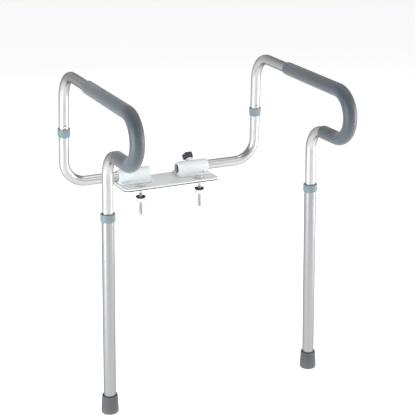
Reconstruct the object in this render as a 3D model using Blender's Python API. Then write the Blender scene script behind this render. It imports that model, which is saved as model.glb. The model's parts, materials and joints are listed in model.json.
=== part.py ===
"""Toilet safety frame: two bent-tube arms on telescopic legs, plugged on to a bracket at the toilet seat.

Metres, +Z up. +X is the sitting person's left and -Y is the way they face. The origin is on the floor,
under the middle of the frame. Each side has its own plane, which leans inward by SPLAY and opens
towards the rear by TOE. In that plane, a point is (0, back, up) from the foot of the front leg.
"""

from math import cos, pi, radians, sin, tan

import bmesh
import bpy
from mathutils import Matrix, Vector

# Clearances
GAP = 0.0003  # between pieces that touch
SLIDE_GAP = 0.00035  # radial, between pieces that slide or turn in each other

# Shape of the frame, along the axes of its tubes
HALF_WIDTH = 0.241  # from the middle to a front leg, at the floor
SPLAY = radians(1.15)
TOE = radians(0.72)
RETURN_HEIGHT = 0.5665  # lower return, from the leg bend to the C bend
ARM_REACH = 0.153  # front of the C bend, ahead of the leg
ARM_SLOPE = radians(1.8)  # armrest, rising to the rear
REAR_REACH = 0.2525  # where armrest and rear upright would meet, behind the leg
REAR_LEAN = radians(3.63)
JOINT_DROP = 0.1292  # end of the arm tube, below that corner
LOWER_DROP = 0.1215  # rear tube's level run, below the arm tube's end
BEND_RADIUS = 0.050
REAR_BEND_RADIUS = 0.060
BEND_STEP = radians(15)

# Tubes
ARM_RADIUS = 0.0111
ARM_WALL = 0.0015
LEG_WALL = 0.00125
BARE_LENGTH = 0.0788  # arm tube between the leg and the leg bend
TUBE_SIDES = 16
ROUND_SIDES = 24

# Height holes
HOLE_PITCH = 0.01905
HOLES_BELOW = 2  # holes under the button as shown, so the leg can rise by as many
HOLES_ABOVE = 4
BUTTON_DEPTH = 0.1077  # leg button below the leg's top
TAIL = 0.035  # arm tube below the leg button

# Hand grip
GRIP_WALL = 0.0029
GRIP_FRONT_TURN = 6  # bend steps of the leg bend that stay bare
GRIP_REAR = 0.104  # end of the grip on the armrest, behind the leg
GRIP_ROUNDING = 0.003

# Leg collar and foot
COLLAR_WALL = 0.00215
COLLAR_HEIGHT = 0.017
COLLAR_LIP = 0.0015
FOOT_HEIGHT = 0.040
FOOT_WALL = 0.0033
FOOT_FLARE = 0.0017
FOOT_FLOOR = 0.006
FOOT_WASHER = 0.0015

# Rear joint, where the arm plugs on to the rear tube
SPIGOT_LENGTH = 0.058
SPIGOT_WALL = 0.0015
REAR_COLLAR_WALL = 0.0023
REAR_COLLAR_BELOW = 0.0142
REAR_COLLAR_ABOVE = 0.0048
REAR_BUTTON_RISE = 0.0102

# Snap buttons
BUTTON_RADIUS = 0.0035
BUTTON_GAP = 0.0003  # radial, round a button in its hole
BUTTON_PROUD = 0.0026
FLANGE_THICK = 0.0010
LEG_FLANGE_RIM = 0.0008  # flange past its hole
REAR_FLANGE_RIM = 0.0006
SPRING_THICKNESS = 0.0006
SPRING_LENGTH = 0.020
SPRING_TRIM = 0.0006  # narrower than the flange, each side

# Bracket
SLEEVE_START = 0.035
SLEEVE_LENGTH = 0.075
SLEEVE_WALL = 0.004
SLEEVE_FLOOR = 0.0035
TUBE_INSET = 0.007  # rear tube's end, inside the sleeve
PLUG_CAP = 0.002
PLUG_STEM = 0.010
EAR_WIDTH = 0.0105  # sleeve's foot, past its round wall
EAR_THICK = 0.004
SCREW_RADIUS = 0.002
SCREW_RIM = 0.0018
SCREW_INSET = 0.013  # from a sleeve's end
PLATE_THICK = 0.003
PAD_THICK = 0.002
PLATE_CORNER = 0.012
PLATE_MARGIN = 0.003  # plate past the sleeves' feet, at the rear
PLATE_END = 0.006  # plate past the sleeves' ends
PLATE_LIP = 0.0185  # plate in front of the bolts
BOLT_HALF_SPACING = 0.0725
BOLT_ROOM = 0.0065  # between a washer and the sleeve's foot
BOLT_RADIUS = 0.004
BOLT_RIM = 0.004
BOLT_HEAD_HEIGHT = 0.0045
BOLT_LENGTH = 0.070
SLOT_HALF_LENGTH = 0.013
WASHER_RIM = 0.007
WASHER_THICK = 0.0015
DECK_THICK = 0.018  # ceramic that the bolts clamp
SEAL_RIM = 0.008
SEAL_THICK = 0.004
NUT_WALL = 0.003
NUT_HEIGHT = 0.008
WING_LENGTH = 0.009
WING_RISE = 0.014
WING_THICK = 0.003

# Clamp knob
KNOB_ANGLE = radians(45)  # from straight up, towards the rear
KNOB_RADIUS = 0.013
KNOB_LOBE = 0.001
KNOB_HEIGHT = 0.012
KNOB_LIFT = 0.0015  # knob above its boss
KNOB_LOBES = 5
STUD_RADIUS = 0.003
BOSS_WALL = 0.00465
BOSS_RISE = 0.00555  # boss past the sleeve's round wall

SIDES = {"left": 1, "right": -1}

# Heights and places worked out from the sizes above
ARM_CORNER = RETURN_HEIGHT + BEND_RADIUS * (1 + tan((pi / 2 - ARM_SLOPE) / 2))
REAR_CORNER = ARM_CORNER + (REAR_REACH + ARM_REACH) * tan(ARM_SLOPE)
JOINT_HEIGHT = REAR_CORNER - JOINT_DROP
LOWER_HEIGHT = JOINT_HEIGHT - LOWER_DROP
LEG_TOP = RETURN_HEIGHT - BEND_RADIUS - BARE_LENGTH
LEG_BUTTON_HEIGHT = LEG_TOP - BUTTON_DEPTH
ARM_END = LEG_BUTTON_HEIGHT - TAIL

# Radii worked out from what each piece fits
BORE = ARM_RADIUS - ARM_WALL
LEG_INNER = ARM_RADIUS + SLIDE_GAP
LEG_RADIUS = LEG_INNER + LEG_WALL
GRIP_RADIUS = ARM_RADIUS + GAP + GRIP_WALL
COLLAR_RADIUS = LEG_RADIUS + GAP + COLLAR_WALL
REAR_COLLAR_RADIUS = ARM_RADIUS + SLIDE_GAP + REAR_COLLAR_WALL
FOOT_NECK = LEG_RADIUS + GAP + FOOT_WALL
FOOT_RADIUS = FOOT_NECK + FOOT_FLARE
SPIGOT_RADIUS = BORE - GAP
HOLE_RADIUS = BUTTON_RADIUS + BUTTON_GAP
SLEEVE_INNER = ARM_RADIUS + SLIDE_GAP
SLEEVE_RADIUS = SLEEVE_INNER + SLEEVE_WALL
BOSS_RADIUS = STUD_RADIUS + SLIDE_GAP + BOSS_WALL
BOSS_TOP = SLEEVE_RADIUS + BOSS_RISE
WASHER_RADIUS = BOLT_RADIUS + WASHER_RIM
SEAL_RADIUS = BOLT_RADIUS + SEAL_RIM
NUT_RADIUS = BOLT_RADIUS + NUT_WALL

# The bracket's lengths worked out from what it holds
TUBE_END = SLEEVE_START + TUBE_INSET
KNOB_X = SLEEVE_START + SLEEVE_LENGTH / 2
EAR_HALF = SLEEVE_RADIUS + EAR_WIDTH
SCREW_OFFSET = SLEEVE_RADIUS + EAR_WIDTH / 2
BOLT_AHEAD = EAR_HALF + BOLT_ROOM + WASHER_RADIUS
PLATE_HALF = SLEEVE_START + SLEEVE_LENGTH + PLATE_END
PLATE_FRONT = BOLT_AHEAD + PLATE_LIP
PLATE_REAR = EAR_HALF + PLATE_MARGIN

# The front leg's place, which puts the middle of the whole frame at Y = 0
LOWER_REACH = REAR_REACH + (REAR_CORNER - LOWER_HEIGHT) * tan(REAR_LEAN)
KNOB_TOP = BOSS_TOP + KNOB_LIFT + KNOB_HEIGHT
KNOB_REAR = KNOB_TOP * sin(KNOB_ANGLE) + KNOB_RADIUS * cos(KNOB_ANGLE)
LEG_Y = (ARM_REACH + GRIP_RADIUS - LOWER_REACH - KNOB_REAR) / 2


def finish(name, colour, roughness, metallic=0.0):
    """A Principled material."""
    material = bpy.data.materials.new(name)
    material.use_nodes = True
    shader = material.node_tree.nodes["Principled BSDF"]
    shader.inputs["Base Color"].default_value = (*colour, 1.0)
    shader.inputs["Roughness"].default_value = roughness
    shader.inputs["Metallic"].default_value = metallic
    material.diffuse_color = (*colour, 1.0)
    return material


def clear_scene():
    for thing in list(bpy.data.objects):
        bpy.data.objects.remove(thing, do_unlink=True)


def placed(origin, up, across=Vector((1, 0, 0))):
    """A frame at origin with its Z along up and its X as near to across as it can be."""
    back = up.cross(across).normalized()
    across = back.cross(up).normalized()
    frame = Matrix((across, back, up.normalized())).transposed().to_4x4()
    return Matrix.Translation(origin) @ frame


def solid(name, shape, frame, material):
    """Makes a bmesh an object, with its faces out and its round sides smooth."""
    bmesh.ops.recalc_face_normals(shape, faces=shape.faces)
    mesh = bpy.data.meshes.new(name)
    shape.to_mesh(mesh)
    shape.free()
    mesh.shade_smooth()
    mesh.set_sharp_from_angle(angle=radians(35))
    piece = bpy.data.objects.new(name, mesh)
    piece.matrix_basis = frame
    bpy.context.scene.collection.objects.link(piece)
    if material:
        mesh.materials.append(material)
    return piece


def helper(piece):
    """Hides a piece that only cuts or joins another."""
    piece.hide_render = True
    piece.display_type = "WIRE"
    return piece


def combine(piece, other, operation):
    step = piece.modifiers.new(other.name, "BOOLEAN")
    step.operation = operation
    step.solver = "EXACT"
    step.object = other


def turned(name, outline, frame, material, sides=ROUND_SIDES, ring=False):
    """Turns an outline of (radius, height) about Z. A ring's outline closes on itself."""
    shape = bmesh.new()
    points = [shape.verts.new((radius, 0, height)) for radius, height in outline]
    pairs = list(zip(points, points[1:]))
    if ring:
        pairs.append((points[-1], points[0]))
    edges = [shape.edges.new(pair) for pair in pairs]
    bmesh.ops.spin(
        shape, geom=points + edges, cent=(0, 0, 0), axis=(0, 0, 1), angle=2 * pi, steps=sides, use_merge=True
    )
    bmesh.ops.remove_doubles(shape, verts=shape.verts, dist=1e-6)
    return solid(name, shape, frame, material)


def prism(name, outline, low, high, frame, material):
    """Extrudes an outline of (x, y) from low to high along Z."""
    shape = bmesh.new()
    face = shape.faces.new([shape.verts.new((x, y, low)) for x, y in outline])
    raised = bmesh.ops.extrude_face_region(shape, geom=[face])["geom"]
    corners = [part for part in raised if isinstance(part, bmesh.types.BMVert)]
    bmesh.ops.translate(shape, verts=corners, vec=(0, 0, high - low))
    return solid(name, shape, frame, material)


def bent_path(corners, radii):
    """Points and directions along straight runs whose corners are bent to the given radii."""
    path = [(corners[0], (corners[1] - corners[0]).normalized())]
    for before, corner, after, radius in zip(corners, corners[1:], corners[2:], radii):
        arrive = (corner - before).normalized()
        leave = (after - corner).normalized()
        turn = arrive.angle(leave)
        axis = arrive.cross(leave).normalized()
        start = corner - arrive * radius * tan(turn / 2)
        centre = start + axis.cross(arrive) * radius
        steps = round(turn / BEND_STEP)
        for i in range(steps + 1):
            turning = Matrix.Rotation(turn * i / steps, 3, axis)
            point = centre + turning @ (start - centre)
            if (point - path[-1][0]).length > GAP:
                path.append((point, turning @ arrive))
    path.append((corners[-1], (corners[-1] - corners[-2]).normalized()))
    return path


def rings(path, radii, normal=Vector((1, 0, 0))):
    """A circle at each point of a path: centre, two directions across it and radius."""
    made = []
    for (point, along), radius in zip(path, radii):
        normal = (normal - along * normal.dot(along)).normalized()
        made.append((point, normal, along.cross(normal), radius))
    return made


def skinned(name, circles, frame, material):
    """Joins circles in order, and the last to the first: out along a tube and back along its bore."""
    shape = bmesh.new()
    rows = []
    for centre, normal, side, radius in circles:
        turns = [2 * pi * i / TUBE_SIDES for i in range(TUBE_SIDES)]
        rows.append([shape.verts.new(centre + radius * (cos(a) * normal + sin(a) * side)) for a in turns])
    for row, following in zip(rows, rows[1:] + rows[:1]):
        for i in range(TUBE_SIDES):
            j = (i + 1) % TUBE_SIDES
            shape.faces.new((row[i], row[j], following[j], following[i]))
    return solid(name, shape, frame, material)


def drill(piece, name, places, radius, low, high):
    """Cuts round holes, each along the Z of its place from low to high."""
    shape = bmesh.new()
    for place in places:
        middle = place @ Matrix.Translation((0, 0, (low + high) / 2))
        bmesh.ops.create_cone(
            shape, cap_ends=True, segments=TUBE_SIDES, radius1=radius, radius2=radius, depth=high - low,
            matrix=middle,
        )
    combine(piece, helper(solid(name, shape, Matrix(), None)), "DIFFERENCE")


def ribbon(points, thickness):
    """The outline of a strip bent along points."""
    left = []
    right = []
    for i, (x, y) in enumerate(points):
        here = Vector((x, y))
        along = Vector(points[min(i + 1, len(points) - 1)]) - Vector(points[max(i - 1, 0)])
        across = Vector((-along.y, along.x)).normalized() * thickness / 2
        left.append(here + across)
        right.append(here - across)
    return left + right[::-1]


def rounded_box(left, low, right, high, radius, steps=4):
    """An outline with round corners."""
    outline = []
    corners = ((right, high, 0), (left, high, 1), (left, low, 2), (right, low, 3))
    for x, y, quarter in corners:
        middle_x = x - radius if x == right else x + radius
        middle_y = y - radius if y == high else y + radius
        for i in range(steps + 1):
            a = (quarter + i / steps) * pi / 2
            outline.append((middle_x + radius * cos(a), middle_y + radius * sin(a)))
    return outline


def arm_frame(side):
    """The side's plane: X across, Y back along the plane, Z up the front leg."""
    up = Vector((-side * sin(SPLAY), 0, cos(SPLAY)))
    back = Vector((side * sin(TOE), cos(TOE), 0))
    return placed(Vector((side * HALF_WIDTH, LEG_Y, 0)), up, back.cross(up))


def rear_point(height):
    """A point on the rear upright's axis, in the side's plane."""
    return Vector((0, REAR_REACH + (REAR_CORNER - height) * tan(REAR_LEAN), height))


def joint_frame(side):
    """The end of the arm tube on the rear upright's axis, with Z up along it."""
    frame = arm_frame(side)
    up = frame.to_3x3() @ Vector((0, -sin(REAR_LEAN), cos(REAR_LEAN)))
    return placed(frame @ rear_point(JOINT_HEIGHT), up, frame.to_3x3() @ Vector((1, 0, 0)))


def lower_corner(side):
    """Where the rear upright's axis meets the level run's axis."""
    return arm_frame(side) @ rear_point(LOWER_HEIGHT / cos(SPLAY))


def snap_button(name, frame, back, flange, reach, material):
    """A domed button on a flange. Z points out of the tube; back and reach are its two ends."""
    dome = BUTTON_PROUD * 0.7
    curve = [(BUTTON_RADIUS * cos(a), reach - dome + dome * sin(a)) for a in (0, pi / 6, pi / 3)]
    front = back + FLANGE_THICK
    outline = [(0, back), (flange, back), (flange, front), (BUTTON_RADIUS, front)]
    return turned(name, outline + curve + [(0, reach)], frame, material, TUBE_SIDES)


def snap_spring(name, frame, back, wall, width, material):
    """A bent strip between the far wall of a tube and the back of a button. Its bend is towards -Y."""
    near = back - GAP - SPRING_THICKNESS / 2
    far = -(wall**2 - (width / 2) ** 2) ** 0.5 + GAP * 2 + SPRING_THICKNESS / 2
    flat = near - 0.0006
    radius = (flat - far) / 2
    turns = [i * pi / 6 for i in range(7)]
    bend = [(-SPRING_LENGTH - radius * sin(a), far + radius * (1 - cos(a))) for a in turns]
    route = [(SPRING_LENGTH / 3, far)] + bend + [(-SPRING_LENGTH / 3, near), (SPRING_LENGTH / 3, near)]
    upright = frame @ Matrix(((0, 0, 1, 0), (1, 0, 0, 0), (0, 1, 0, 0), (0, 0, 0, 1)))
    return prism(name, ribbon(route, SPRING_THICKNESS), -width / 2, width / 2, upright, material)


def build_arm(side_name, side, finishes):
    """The bent arm tube and its grip."""
    frame = arm_frame(side)
    corners = [
        Vector((0, 0, ARM_END)),
        Vector((0, 0, RETURN_HEIGHT)),
        Vector((0, -ARM_REACH, RETURN_HEIGHT)),
        Vector((0, -ARM_REACH, ARM_CORNER)),
        Vector((0, REAR_REACH, REAR_CORNER)),
        rear_point(JOINT_HEIGHT),
    ]
    path = bent_path(corners, (BEND_RADIUS, BEND_RADIUS, BEND_RADIUS, REAR_BEND_RADIUS))
    outside = rings(path, [ARM_RADIUS] * len(path))
    inside = rings(path, [BORE] * len(path))
    tube = skinned(f"{side_name}_arm_tube", outside + inside[::-1], frame, finishes["tube"])
    leg_button = placed(frame @ Vector((0, 0, LEG_BUTTON_HEIGHT)), frame.to_3x3() @ Vector((0, 1, 0)))
    drill(tube, f"{side_name}_arm_lower_cut", [leg_button], HOLE_RADIUS, 0, 2 * ARM_RADIUS)
    drill(tube, f"{side_name}_arm_rear_cut", [rear_button_frame(side)], HOLE_RADIUS, 0, 2 * ARM_RADIUS)
    grip = build_grip(side_name, path, frame, finishes["grip"])
    return [tube, grip]


def rounded_end(here, inside, rounding):
    """Stations of a rounded end, from its face at here towards the station inside."""
    run = inside[0] - here[0]
    stations = []
    for amount, _ in rounding:
        share = amount * GRIP_ROUNDING / run.length
        stations.append((here[0] + run * share, here[1].lerp(inside[1], share).normalized()))
    return stations


def build_grip(side_name, path, frame, material):
    """The foam sleeve, from inside the leg bend round the C bend to the back of the armrest."""
    slope = Vector((0, cos(ARM_SLOPE), sin(ARM_SLOPE)))
    rear = Vector((0, GRIP_REAR, ARM_CORNER + (GRIP_REAR + ARM_REACH) * tan(ARM_SLOPE)))
    start = 1 + GRIP_FRONT_TURN
    covered = [station for station in path[start:] if station[0].y < 0 or station[0].z > JOINT_HEIGHT]
    covered = [station for station in covered if station[0].y < GRIP_REAR] + [(rear, slope)]
    inner = ARM_RADIUS + GAP
    rounding = [(0, inner + 0.3 * (GRIP_RADIUS - inner)), (0.3, GRIP_RADIUS - 0.001), (1, GRIP_RADIUS)]
    front_end = rounded_end(covered[0], covered[1], rounding)
    rear_end = rounded_end(covered[-1], covered[-2], rounding)[::-1]
    edge_radii = [radius for _, radius in rounding]
    outer_radii = edge_radii + [GRIP_RADIUS] * (len(covered) - 2) + edge_radii[::-1]
    outside = rings(front_end + covered[1:-1] + rear_end, outer_radii)
    inside = rings(covered, [inner] * len(covered))
    return skinned(f"{side_name}_hand_grip", outside + inside[::-1], frame, material)


def build_leg(side_name, side, finishes):
    """The telescopic front leg with its collar, foot and washer."""
    frame = arm_frame(side)
    seat = FOOT_FLOOR + 2 * GAP
    bottom = seat + FOOT_WASHER + GAP
    outline = [(LEG_RADIUS, bottom), (LEG_RADIUS, LEG_TOP), (LEG_INNER, LEG_TOP), (LEG_INNER, bottom)]
    tube = turned(f"{side_name}_leg_tube", outline, frame, finishes["leg"], ring=True)
    backward = frame.to_3x3() @ Vector((0, 1, 0))
    steps = range(-HOLES_BELOW, HOLES_ABOVE + 1)
    heights = [LEG_BUTTON_HEIGHT + HOLE_PITCH * step for step in steps]
    holes = [placed(frame @ Vector((0, 0, height)), backward) for height in heights]
    drill(tube, f"{side_name}_leg_holes", holes, HOLE_RADIUS, 0, 2 * LEG_RADIUS)
    collar = build_leg_collar(side_name, frame, finishes["collar"])
    foot = build_foot(side_name, side, finishes["foot"])
    washer_outline = [(0, seat), (LEG_RADIUS - GAP, seat), (LEG_RADIUS - GAP, seat + FOOT_WASHER)]
    washer_outline.append((0, seat + FOOT_WASHER))
    washer = turned(f"{side_name}_foot_washer", washer_outline, frame, finishes["steel"])
    return [tube, collar, foot, washer]


def build_leg_collar(side_name, frame, material):
    """A ring round the leg tube's top, with a lip over its end."""
    top = LEG_TOP + GAP + COLLAR_LIP
    bottom = top - COLLAR_HEIGHT
    lip = ARM_RADIUS + SLIDE_GAP
    bore = LEG_RADIUS + GAP
    edge = 0.0018
    outline = [
        (bore, bottom),
        (COLLAR_RADIUS - edge / 2, bottom),
        (COLLAR_RADIUS, bottom + edge),
        (COLLAR_RADIUS, top - edge),
        (COLLAR_RADIUS - edge / 2, top - edge / 4),
        (COLLAR_RADIUS - edge, top),
        (lip, top),
        (lip, top - COLLAR_LIP),
        (bore, top - COLLAR_LIP),
    ]
    return turned(f"{side_name}_leg_collar", outline, frame, material, ring=True)


def build_foot(side_name, side, material):
    """A rubber ferrule that follows the leg's lean but stands level on the floor."""
    bore = LEG_RADIUS + GAP
    edge = 0.003
    outline = [
        (0, 0),
        (FOOT_RADIUS - edge, 0),
        (FOOT_RADIUS - edge * 0.3, edge * 0.3),
        (FOOT_RADIUS, edge),
        (FOOT_RADIUS, edge * 3),
        (FOOT_NECK, FOOT_HEIGHT - edge / 2),
        (FOOT_NECK - edge / 3, FOOT_HEIGHT),
        (bore, FOOT_HEIGHT),
        (bore, FOOT_FLOOR),
        (0, FOOT_FLOOR),
    ]
    foot = turned(f"{side_name}_foot", outline, Matrix.Translation((side * HALF_WIDTH, LEG_Y, 0)), material)
    lean = Matrix.Identity(4)
    lean[0][2] = -side * tan(SPLAY)
    foot.data.transform(lean)
    return foot


def rear_button_frame(side):
    """On the rear upright's axis at the button, with Z pointing forward out of the tube."""
    frame = joint_frame(side)
    return placed(frame @ Vector((0, 0, REAR_BUTTON_RISE)), frame.to_3x3() @ Vector((0, -1, 0)))


def build_rear(side_name, side, finishes):
    """The rear tube with its spigot, collar and end plug."""
    joint = joint_frame(side)
    corner = lower_corner(side)
    end = Vector((side * TUBE_END, corner.y, corner.z))
    up = joint.to_3x3() @ Vector((0, 0, 1))
    shoulder = joint @ Vector((0, 0, -GAP))
    neck = joint @ Vector((0, 0, -GAP - SPIGOT_WALL))
    path = bent_path([shoulder - corner, Vector(), end - corner], [BEND_RADIUS])
    top = (joint @ Vector((0, 0, SPIGOT_LENGTH)) - corner, -up)
    step = (shoulder - corner, -up)
    outer = [top, step] + path
    outer_radii = [SPIGOT_RADIUS] * 2 + [ARM_RADIUS] * len(path)
    inner = [top, (neck - corner, -up), (neck - corner, -up)] + path[1:]
    inner_radii = [SPIGOT_RADIUS - SPIGOT_WALL] * 2 + [BORE] * len(path)
    outside = rings(outer, outer_radii)
    inside = rings(inner, inner_radii)
    place = Matrix.Translation(corner)
    tube = skinned(f"{side_name}_rear_tube", outside + inside[::-1], place, finishes["tube"])
    drill(tube, f"{side_name}_spigot_cut", [rear_button_frame(side)], HOLE_RADIUS, 0, 2 * ARM_RADIUS)
    bore = ARM_RADIUS + SLIDE_GAP
    outline = [
        (bore, -REAR_COLLAR_BELOW),
        (REAR_COLLAR_RADIUS - 0.0009, -REAR_COLLAR_BELOW),
        (REAR_COLLAR_RADIUS, -REAR_COLLAR_BELOW / 2),
        (REAR_COLLAR_RADIUS, REAR_COLLAR_ABOVE - 0.001),
        (REAR_COLLAR_RADIUS - 0.0007, REAR_COLLAR_ABOVE),
        (bore, REAR_COLLAR_ABOVE),
    ]
    collar = turned(f"{side_name}_rear_collar", outline, joint, finishes["collar"], ring=True)
    inward = placed(end, Vector((side, 0, 0)), Vector((0, 0, 1)))
    stem = BORE - SLIDE_GAP
    plug_outline = [(0, -GAP - PLUG_CAP), (ARM_RADIUS, -GAP - PLUG_CAP), (ARM_RADIUS, -GAP), (stem, -GAP)]
    plug_outline += [(stem, PLUG_STEM), (0, PLUG_STEM)]
    plug = turned(f"{side_name}_tube_plug", plug_outline, inward, finishes["knob"], TUBE_SIDES)
    return [tube, collar, plug]


def sleeve_outline():
    """The sleeve's section, round over the tube with a wide foot: (back, up) from its axis."""
    low = -SLEEVE_INNER - SLEEVE_FLOOR
    arch = [(SLEEVE_RADIUS * cos(i * pi / 12), SLEEVE_RADIUS * sin(i * pi / 12)) for i in range(13)]
    right = [(EAR_HALF, low), (EAR_HALF, low + EAR_THICK), (SLEEVE_RADIUS, low + EAR_THICK)]
    left = [(-back, up) for back, up in right[::-1]]
    return right + arch + left


def knob_frame(side):
    """On the tube's axis under the knob, with Z along the knob's screw."""
    corner = lower_corner(side)
    axis = Vector((0, sin(KNOB_ANGLE), cos(KNOB_ANGLE)))
    return placed(Vector((side * KNOB_X, corner.y, corner.z)), axis)


def screw_places(side):
    """Two screws that hold a sleeve to the plate: front outer and rear inner."""
    corner = lower_corner(side)
    top = corner.z - SLEEVE_INNER - SLEEVE_FLOOR + EAR_THICK
    outer = Vector((side * (SLEEVE_START + SLEEVE_LENGTH - SCREW_INSET), corner.y - SCREW_OFFSET, top))
    inner = Vector((side * (SLEEVE_START + SCREW_INSET), corner.y + SCREW_OFFSET, top))
    return {"front": Matrix.Translation(outer), "rear": Matrix.Translation(inner)}


def build_sleeve(side_name, side, finishes):
    """The moulded sleeve with its boss, bore and holes, and the screws that hold it."""
    corner = lower_corner(side)
    along = placed(Vector((0, corner.y, corner.z)), Vector((1, 0, 0)), Vector((0, 1, 0)))
    ends = sorted((side * SLEEVE_START, side * (SLEEVE_START + SLEEVE_LENGTH)))
    sleeve = prism(f"{side_name}_bracket_sleeve", sleeve_outline(), *ends, along, finishes["sleeve"])
    knob = knob_frame(side)
    boss_outline = [(0, SLEEVE_INNER), (BOSS_RADIUS, SLEEVE_INNER), (BOSS_RADIUS, BOSS_TOP), (0, BOSS_TOP)]
    boss = turned(f"{side_name}_sleeve_boss", boss_outline, knob, None)
    combine(sleeve, helper(boss), "UNION")
    bore = placed(Vector((side * KNOB_X, corner.y, corner.z)), Vector((1, 0, 0)), Vector((0, 1, 0)))
    cut_outline = [(0, -SLEEVE_LENGTH), (SLEEVE_INNER, -SLEEVE_LENGTH), (SLEEVE_INNER, SLEEVE_LENGTH)]
    cut = turned(f"{side_name}_sleeve_bore", cut_outline + [(0, SLEEVE_LENGTH)], bore, None)
    combine(sleeve, helper(cut), "DIFFERENCE")
    drill(sleeve, f"{side_name}_stud_hole", [knob], STUD_RADIUS + SLIDE_GAP, 0, 2 * BOSS_TOP)
    places = screw_places(side)
    depth = 2 * EAR_THICK
    drill(sleeve, f"{side_name}_foot_holes", places.values(), SCREW_RADIUS + GAP, -depth, depth)
    pieces = [sleeve]
    head = SCREW_RADIUS + SCREW_RIM
    for where, place in places.items():
        tip = -EAR_THICK - PLATE_THICK + GAP
        outline = [(0, tip), (SCREW_RADIUS, tip), (SCREW_RADIUS, GAP), (head, GAP), (head, 0.0015)]
        outline += [(head * 0.7, 0.0024), (0, 0.0026)]
        pieces.append(turned(f"{side_name}_{where}_sleeve_screw", outline, place, finishes["steel"], 12))
    return pieces


def build_knob(side_name, side, finishes):
    """The clamp knob: a lobed head moulded on a steel stud."""
    low = BOSS_TOP + KNOB_LIFT
    turns = [2 * pi * i / 40 for i in range(40)]
    edge = [KNOB_RADIUS - KNOB_LOBE * (1 - cos(KNOB_LOBES * a)) for a in turns]
    outline = [(radius * sin(a), radius * cos(a)) for radius, a in zip(edge, turns)][::-1]
    place = knob_frame(side)
    knob = prism(f"{side_name}_clamp_knob", outline, low, low + KNOB_HEIGHT, place, finishes["knob"])
    tip = ARM_RADIUS + GAP
    middle = low + KNOB_HEIGHT / 2
    stud_outline = [(0, tip), (STUD_RADIUS, tip), (STUD_RADIUS, middle), (0, middle)]
    stud = turned(f"{side_name}_knob_stud", stud_outline, place, None, TUBE_SIDES)
    combine(knob, helper(stud), "UNION")
    return knob


def build_buttons(side_name, side, finishes):
    """Both snap buttons of a side, and the springs behind them."""
    frame = arm_frame(side)
    leg_place = placed(frame @ Vector((0, 0, LEG_BUTTON_HEIGHT)), frame.to_3x3() @ Vector((0, 1, 0)))
    rear_place = rear_button_frame(side)
    tight = cos(pi / TUBE_SIDES)
    spigot_bore = SPIGOT_RADIUS - SPIGOT_WALL
    pieces = {}
    buttons = (
        ("leg", leg_place, BORE * tight, LEG_FLANGE_RIM, LEG_RADIUS + BUTTON_PROUD),
        ("rear", rear_place, spigot_bore * tight, REAR_FLANGE_RIM, ARM_RADIUS + BUTTON_PROUD),
    )
    for where, place, wall, rim, reach in buttons:
        flange = HOLE_RADIUS + rim
        back = (wall**2 - flange**2) ** 0.5 - GAP - FLANGE_THICK
        button_name = f"{side_name}_{where}_snap_button"
        pieces[where, "button"] = snap_button(button_name, place, back, flange, reach, finishes["button"])
        spring_name = f"{side_name}_{where}_snap_spring"
        width = 2 * (flange - SPRING_TRIM)
        pieces[where, "spring"] = snap_spring(spring_name, place, back, wall, width, finishes["steel"])
    return pieces


def plate_levels():
    """Heights of the plate's top, its underside and the pad's underside."""
    top = lower_corner(1).z - SLEEVE_INNER - SLEEVE_FLOOR - GAP
    under = top - PLATE_THICK
    return top, under, under - GAP - PAD_THICK


def build_plate(finishes):
    """The mounting plate and the rubber pad under it, both slotted for the bolts."""
    top, under, deck = plate_levels()
    middle = lower_corner(1).y
    levels = {"mounting_plate": (under, top, "plate"), "plate_pad": (deck, under - GAP, "rubber")}
    holes = [place for side in SIDES.values() for place in screw_places(side).values()]
    pieces = []
    for name, (low, high, look) in levels.items():
        box = (-PLATE_HALF, middle - PLATE_FRONT, PLATE_HALF, middle + PLATE_REAR, PLATE_CORNER)
        piece = prism(name, rounded_box(*box), low, high, Matrix(), finishes[look])
        for side_name, side in SIDES.items():
            width = BOLT_RADIUS + GAP
            x = side * BOLT_HALF_SPACING
            y = middle - BOLT_AHEAD
            reach = SLOT_HALF_LENGTH
            outline = rounded_box(x - reach, y - width, x + reach, y + width, width * 0.999)
            cut = prism(f"{side_name}_{name}_slot", outline, deck - 0.01, top + 0.01, Matrix(), None)
            combine(piece, helper(cut), "DIFFERENCE")
        pieces.append(piece)
    depth = 2 * (EAR_THICK + PLATE_THICK)
    drill(pieces[0], "plate_screw_holes", holes, SCREW_RADIUS + GAP, -depth, depth)
    return pieces


def build_bolt(side_name, side, finishes):
    """A fixing bolt with its washer, the rubber seal under the toilet's deck, and the wing nut."""
    top, _, deck = plate_levels()
    place = Matrix.Translation((side * BOLT_HALF_SPACING, lower_corner(1).y - BOLT_AHEAD, 0))
    hole = BOLT_RADIUS + SLIDE_GAP
    washer_low = top + GAP
    outline = [(hole, washer_low), (WASHER_RADIUS, washer_low), (WASHER_RADIUS, washer_low + WASHER_THICK)]
    outline.append((hole, washer_low + WASHER_THICK))
    washer = turned(f"{side_name}_bolt_washer", outline, place, finishes["steel"], ring=True)
    head = washer_low + WASHER_THICK + GAP
    rim = BOLT_RADIUS + BOLT_RIM
    outline = [(0, head - BOLT_LENGTH), (BOLT_RADIUS, head - BOLT_LENGTH), (BOLT_RADIUS, head), (rim, head)]
    outline += [(rim, head + BOLT_HEAD_HEIGHT / 2), (rim * 0.7, head + BOLT_HEAD_HEIGHT * 0.85)]
    outline.append((0, head + BOLT_HEAD_HEIGHT))
    bolt = turned(f"{side_name}_fixing_bolt", outline, place, finishes["steel"])
    high = deck - DECK_THICK - GAP
    low = high - SEAL_THICK
    outline = [(hole, low), (SEAL_RADIUS * 0.8, low), (SEAL_RADIUS, high), (hole, high)]
    seal = turned(f"{side_name}_bolt_seal", outline, place, finishes["rubber"], ring=True)
    nut = build_wing_nut(side_name, place, low - GAP, finishes["white"])
    return [washer, bolt, seal], nut


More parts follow.
